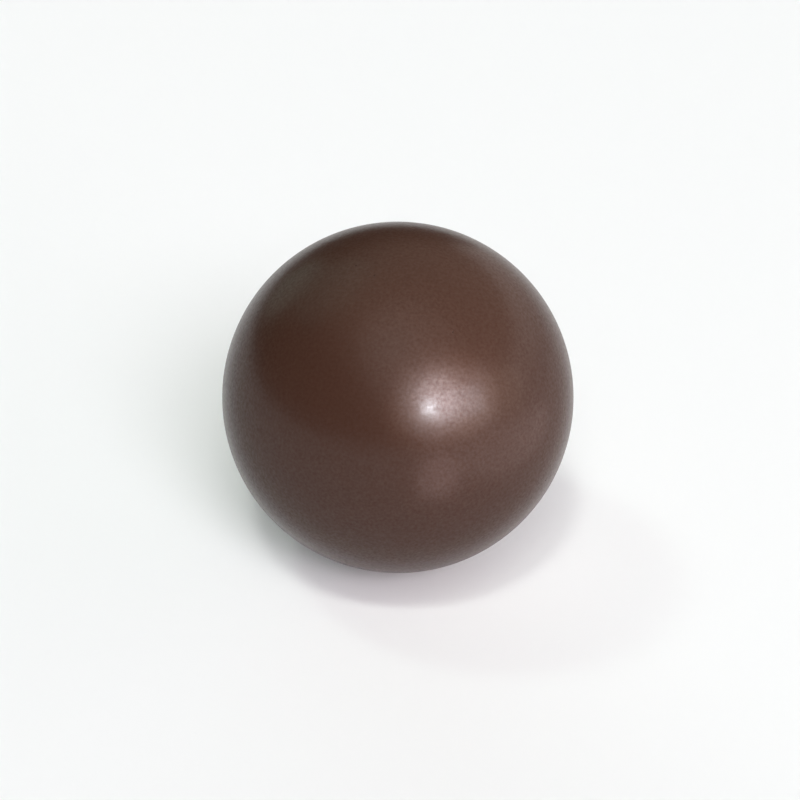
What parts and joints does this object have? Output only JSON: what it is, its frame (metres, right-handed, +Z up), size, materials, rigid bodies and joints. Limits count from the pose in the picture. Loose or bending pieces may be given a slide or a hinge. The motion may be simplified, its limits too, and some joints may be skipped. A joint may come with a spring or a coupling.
{
  "type": "frac ball",
  "caption": "Solid satin brown phenolic ball, ground to a plain sphere, that drops onto the seat of a well tool and closes its bore.",
  "frame": {"origin": "centre of the ball", "axes": "+Z up, away from the seat or table under the ball; every axis through the centre is an axis of symmetry"},
  "size_m": [0.0508, 0.0508, 0.0508],
  "materials": {
    "phenolic": "ground satin, dark brown fibre-filled phenolic with a fine speckled grain"
  },
  "bodies": {
    "root": {"ball": "phenolic"}
  },
  "joints": []
}
